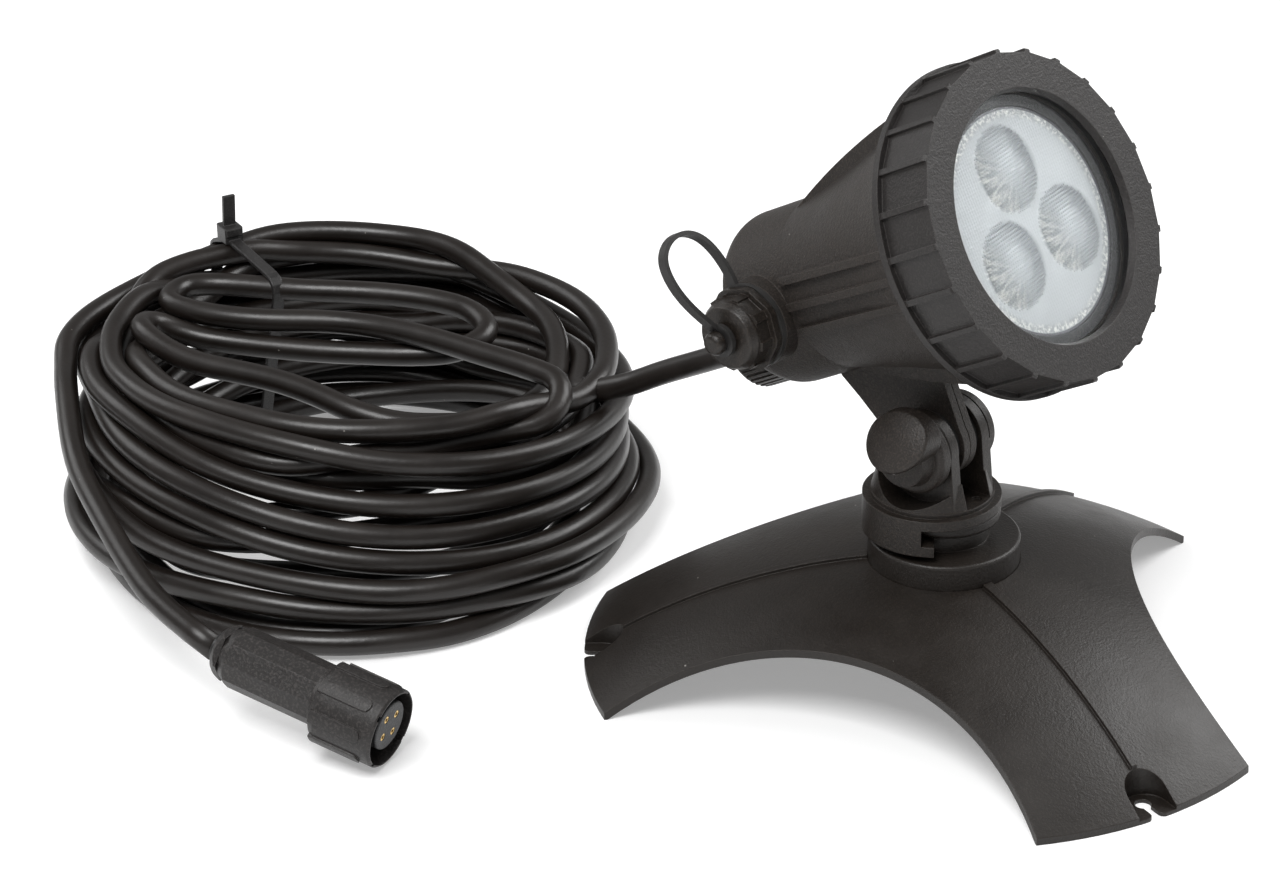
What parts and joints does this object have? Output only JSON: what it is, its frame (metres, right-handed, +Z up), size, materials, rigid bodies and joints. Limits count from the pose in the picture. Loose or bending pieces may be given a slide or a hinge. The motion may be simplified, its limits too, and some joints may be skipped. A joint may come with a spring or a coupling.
{
  "type": "underwater pond light",
  "caption": "Dark plastic underwater spotlight on a three-legged arched foot, with a tilting knuckle, a ribbed lens ring, a capped side port and a loosely coiled cable ending in a round plug.",
  "frame": {"origin": "where the pan axis meets the floor, at the centre of the three fixing holes' circle", "axes": "+Z up along the pan axis, the lamp shines towards -Y, +X along the tilt axis away from the knob"},
  "size_m": [0.2353, 0.3441, 0.1631],
  "materials": {
    "base": "fine moulded grain, dark grey",
    "housing": "fine moulded grain, dark grey",
    "knob": "spark-eroded grain, dark grey",
    "steel": "plain stainless",
    "glass": "clear tempered glass",
    "lens": "clear moulded optics",
    "dark": "plain black",
    "board": "white solder mask on metal core",
    "led": "phosphor yellow",
    "sink": "as cast",
    "pcb": "green solder mask",
    "potting": "cast resin",
    "seal": "smooth",
    "strap": "soft moulded",
    "cable": "semi-gloss extruded jacket",
    "tie": "moulded nylon",
    "plug": "fine grain, dark grey",
    "gold": "gold plated",
    "wire": "insulated wire"
  },
  "bodies": {
    "swivel": {"swivel_clevis": "base", "tilt_nut": "knob", "tilt_bolt": "steel", "friction_washers": "seal", "cable_lead": "cable", "cable_coil": "cable", "cable_tail": "cable", "cable_tie": "tie", "connector_body": "plug", "connector_insert": "dark", "connector_contacts": "gold", "connector_clamp": "plug", "connector_grommet": "seal", "connector_stub": "cable"},
    "base": {"base_shell": "base", "base_boss": "base", "boss_screws": "steel", "pan_screw": "steel", "pan_washer": "steel"},
    "head": {"lamp_housing": "housing", "front_glass": "glass", "glass_gasket": "seal", "lens_array": "lens", "lens_retainer": "dark", "led_board": "board", "led_emitters": "led", "heat_sink": "sink", "driver_board": "pcb", "driver_parts": "dark", "board_standoffs": "steel", "inner_wires": "wire", "potting": "potting", "port_socket": "dark", "port_pins": "gold", "gland_nut": "housing", "gland_seal": "seal", "cable_stub": "cable", "cap_strap": "strap"},
    "knob": {"thumb_knob": "knob"},
    "bezel": {"bezel_ring": "housing"},
    "cap": {"port_cap": "knob"},
    "collar": {"connector_collar": "plug"}
  },
  "joints": [
    {"name": "pan", "type": "hinge", "parent": "swivel", "child": "base", "pos_m": [0, 0, 0], "axis": [0, 0, 1], "range_deg": [-175, 175]},
    {"name": "tilt", "type": "hinge", "parent": "swivel", "child": "head", "pos_m": [-0.00219, 0.00061, 0.0616], "axis": [1, 0, 0], "range_deg": [-30, 39], "deforming": ["cable_lead"]},
    {"name": "knob_turn", "type": "hinge", "parent": "swivel", "child": "knob", "pos_m": [-0.00219, 0.00061, 0.0616], "axis": [-1, 0, 0], "range_deg": [-180, 180]},
    {"name": "bezel_turn", "type": "hinge", "parent": "head", "child": "bezel", "pos_m": [-0.00219, -0.02837, 0.12843], "axis": [0, -0.8729, 0.4879], "range_deg": [-60, 60]},
    {"name": "cap_turn", "type": "hinge", "parent": "head", "child": "cap", "pos_m": [-0.02919, 0.0394, 0.08941], "axis": [-1, 0, 0], "range_deg": [-180, 180]},
    {"name": "collar_turn", "type": "hinge", "parent": "swivel", "child": "collar", "pos_m": [-0.1279, 0.0675, 0.0106], "axis": [0.2213, -0.9587, -0.1788], "range_deg": [-180, 180]}
  ]
}
